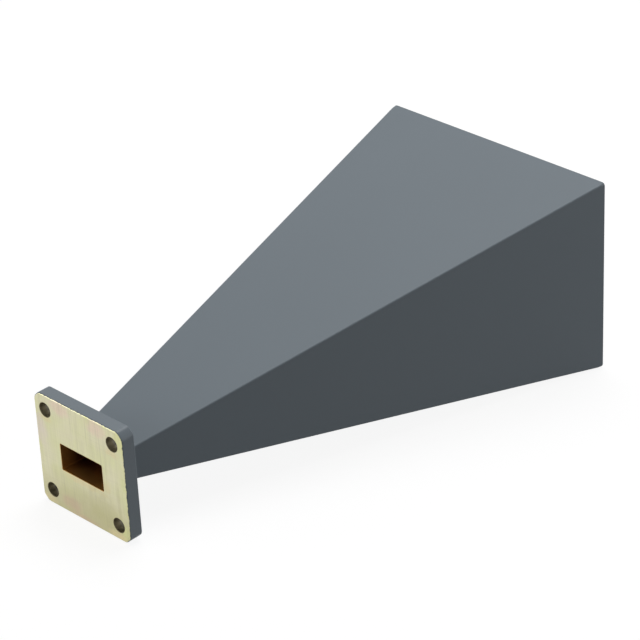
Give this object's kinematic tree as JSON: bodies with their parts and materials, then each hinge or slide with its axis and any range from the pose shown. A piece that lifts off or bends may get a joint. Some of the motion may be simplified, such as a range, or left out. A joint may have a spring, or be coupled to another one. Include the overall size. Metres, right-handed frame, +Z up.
{
  "type": "waveguide horn antenna",
  "caption": "Pyramidal waveguide horn antenna: square bolted cover flange, short rectangular throat and a flat-sided flare that widens to a rectangular mouth.",
  "frame": {"origin": "centre of the waveguide port on the flange's mating face", "axes": "+Y along the horn's axis from the mating face to the mouth, +X along the port's broad dimension, +Z up along its narrow dimension"},
  "size_m": [0.0786, 0.1612, 0.0592],
  "materials": {
    "chromated_brass": "lapped face with a clear yellow chromate",
    "grey_enamel": "satin grey enamel on brass plate"
  },
  "bodies": {
    "root": {"flange": "chromated_brass", "throat_tube": "grey_enamel", "upper_wall": "grey_enamel", "lower_wall": "grey_enamel", "left_wall": "grey_enamel", "right_wall": "grey_enamel"}
  },
  "joints": []
}
